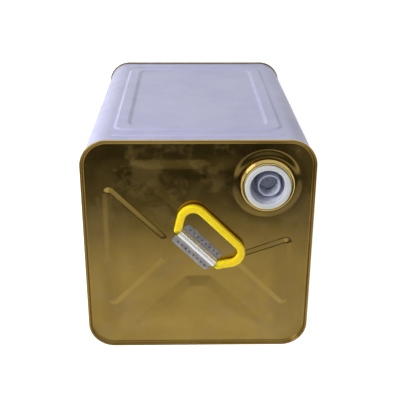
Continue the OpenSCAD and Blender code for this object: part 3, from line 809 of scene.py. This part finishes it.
def add_handle():
    """The handle: the loop and its pivot bar, tilted up about the axis."""
    c, s = math.cos(HANDLE_TILT), math.sin(HANDLE_TILT)
    parts = []
    for k, (verts, faces) in enumerate((handle_loop(), pivot_bar())):
        tilted = [(x, c * y - s * z, AXIS_Z + s * y + c * z) for x, y, z in verts]
        parts.append(mesh_object(f"handle_part_{k}", on_handle_axis(tilted), faces))
    handle = join(parts, "handle_moulding")
    finish_piece(handle, "carry_handle", "handle_plastic", yellow_plastic, "handle")


def dress_nodes():
    """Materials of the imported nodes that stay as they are."""
    dress = {"side_weld": tinplate, "spot_welds": weld_mark}
    dress.update({node: rubber for node in ("top_compound", "bottom_compound", "neck_gasket")})
    for node, material in dress.items():
        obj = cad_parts[node]
        obj.data.materials.clear()
        obj.data.materials.append(material)


# stage, light and camera, in metres


def add_floor():
    """A pale floor that keeps the object's shadow, and glows white only to the camera and reflections."""
    bpy.ops.mesh.primitive_plane_add(size=8, location=(0, 0, 0))
    floor = bpy.context.object
    floor.name = "floor"
    g = Finish("floor")
    g.set(Base_Color=(0.55, 0.55, 0.55, 1), Roughness=0.9, Specular_IOR_Level=0.1)
    plain = g.shader.outputs[0]
    glow = g.add("ShaderNodeEmission", {"Color": WHITE, "Strength": 0.8}).outputs[0]
    bright = g.add("ShaderNodeAddShader", {0: plain, 1: glow}).outputs[0]
    rays = g.add("ShaderNodeLightPath").outputs
    seen = g.math("MINIMUM", g.math("ADD", rays["Is Camera Ray"], rays["Is Glossy Ray"]), 1.0)
    pick = g.add("ShaderNodeMixShader", {0: seen, 1: plain, 2: bright}).outputs[0]
    g.fill(g.out.inputs[0], pick)
    floor.data.materials.append(g.material)


def add_world():
    """A dim world for the object, which is white to the camera, to reflections and through glass."""
    world = bpy.data.worlds.new("studio")
    bpy.context.scene.world = world
    g = Graph(world, "ShaderNodeOutputWorld")
    soft = g.add("ShaderNodeBackground", {"Color": (0.95, 0.97, 1.0, 1), "Strength": 0.24}).outputs[0]
    white = g.add("ShaderNodeBackground", {"Color": WHITE, "Strength": 1.0}).outputs[0]
    rays = g.add("ShaderNodeLightPath").outputs
    seen = g.math("ADD", rays["Is Camera Ray"], rays["Is Glossy Ray"])
    seen = g.math("MAXIMUM", seen, rays["Is Transmission Ray"])
    pick = g.add("ShaderNodeMixShader", {0: seen, 1: soft, 2: white}).outputs[0]
    g.fill(g.out.inputs[0], pick)


def add_lamp(name, place, target, size, power, mirrored=False):
    """An area lamp aimed at a point, which shows in reflections only where it is mirrored."""
    data = bpy.data.lights.new(name, "AREA")
    data.shape = "RECTANGLE"
    data.size, data.size_y = size
    data.energy = power
    lamp = bpy.data.objects.new(name, data)
    lamp.location = place
    lamp.rotation_euler = (Vector(target) - Vector(place)).to_track_quat("-Z", "Y").to_euler()
    lamp.visible_glossy = mirrored
    bpy.context.scene.collection.objects.link(lamp)


def add_overhead_card():
    """The dark and bright stretches of room that the lid mirrors, on a card that only reflections see.

    Its shade runs through stops of (y, grey) from -Y to +Y. One row of stops is over the lid's middle, and
    the other one takes over to either side of it.
    """
    height, half_x, side_x, side_blend = 2.3, 3.0, 0.34, 0.12
    middle = (
        (-2.4, 1.1), (-1.5, 1.0), (-1.1, 0.9), (-0.98, 0.74), (-0.84, 0.2), (-0.7, 0.04), (-0.42, 0.03),
        (-0.35, 0.65), (0.0, 0.65), (0.14, 0.12), (0.6, 0.12), (1.0, 0.55), (3.5, 0.55))
    sides = (
        (-2.4, 1.0), (-1.5, 0.7), (-1.1, 0.75), (-0.98, 0.7), (-0.86, 0.2), (-0.62, 0.12), (-0.42, 0.2),
        (-0.35, 1.1), (0.0, 1.1), (0.14, 0.12), (0.6, 0.12), (1.0, 0.55), (3.5, 0.55))
    low_y, high_y = middle[0][0], middle[-1][0]
    length = high_y - low_y
    bpy.ops.mesh.primitive_plane_add(size=1, location=(0, (low_y + high_y) / 2, height))
    card = bpy.context.object
    card.name = "overhead_card"
    card.scale = (2 * half_x, length, 1)

    material = bpy.data.materials.new("overhead_card")
    g = Graph(material, "ShaderNodeOutputMaterial")
    place = g.add("ShaderNodeNewGeometry").outputs["Position"]
    axes = g.add("ShaderNodeSeparateXYZ", {"Vector": place}).outputs
    cloud = g.noise(2.2, detail=5, rough=0.62, coords=place)
    waver = g.math("MULTIPLY", g.math("SUBTRACT", cloud, 0.5), 0.2)
    y = g.math("ADD", axes["Y"], waver)
    share = g.add("ShaderNodeMapRange", {"Value": y, "From Min": low_y, "From Max": high_y}).outputs[0]
    over, beside = (
        g.ramp(share, [((at - low_y) / length, (grey, grey, grey, 1)) for at, grey in stops])
        for stops in (middle, sides))
    off_middle = g.math("ABSOLUTE", axes["X"], 0.0)
    span = {"Value": off_middle, "From Min": side_x, "From Max": side_x + side_blend}
    aside = g.add("ShaderNodeMapRange", span).outputs[0]
    smoke = g.noise(6.5, detail=5, rough=0.65, coords=place)
    patches = g.grey_ramp(smoke, 0, 0.07, start=0.52, end=0.6)
    shade = g.mix(1.0, g.mix(aside, over, beside), patches, blend="ADD")
    g.fill(g.out.inputs[0], g.add("ShaderNodeEmission", {"Color": shade}).outputs[0])
    card.data.materials.append(material)
    for rays in ("visible_camera", "visible_diffuse", "visible_shadow", "visible_transmission"):
        setattr(card, rays, False)


def add_camera():
    """The camera fitted to the photograph. It looks down on the lid and sees the side at +Y above it."""
    data = bpy.data.cameras.new("camera")
    data.sensor_width = SENSOR_MM
    data.lens = FOCAL_PIXELS / PHOTO_WIDTH * SENSOR_MM
    data.clip_start, data.clip_end = 0.01, 50
    camera = bpy.data.objects.new("camera", data)
    bpy.context.scene.collection.objects.link(camera)
    ahead = Vector(CAMERA_AHEAD).normalized()
    right = Vector(CAMERA_RIGHT)
    right = (right - ahead * right.dot(ahead)).normalized()
    up = right.cross(ahead)
    rows = zip(right, up, -ahead, CAMERA_PLACE)
    camera.matrix_world = Matrix((*rows, (0, 0, 0, 1)))
    bpy.context.scene.camera = camera


add_ends()
add_sides()
add_collar()
add_ring()
add_outer_fold()
add_inner_fold()
add_nozzle()
add_strap()
add_handle()
dress_nodes()

add_floor()
add_world()

# each lamp's place, the point it is aimed at, its size and its power in watts
add_lamp("key", (-1.0, 0.52, 0.95), (0, 0.1, 0.2), (0.7, 0.7), 15.0)
add_lamp("glint", (-0.9, 0.75, 1.1), (0, 0.1, 0.2), (0.7, 0.7), 4.0, mirrored=True)
add_lamp("fill", (0.9, 0.5, 0.75), (0, 0, 0.3), (0.5, 0.5), 0.8)
add_lamp("low", (0.9, -1.5, 0.7), (0, 0, 0.2), (1.0, 0.6), 15.0)
add_lamp("top", (0.25, 0.05, 1.6), (0.05, 0.05, 0.35), (0.4, 0.4), 0.9)
add_overhead_card()
add_camera()
bpy.context.scene.view_settings.view_transform = "Standard"
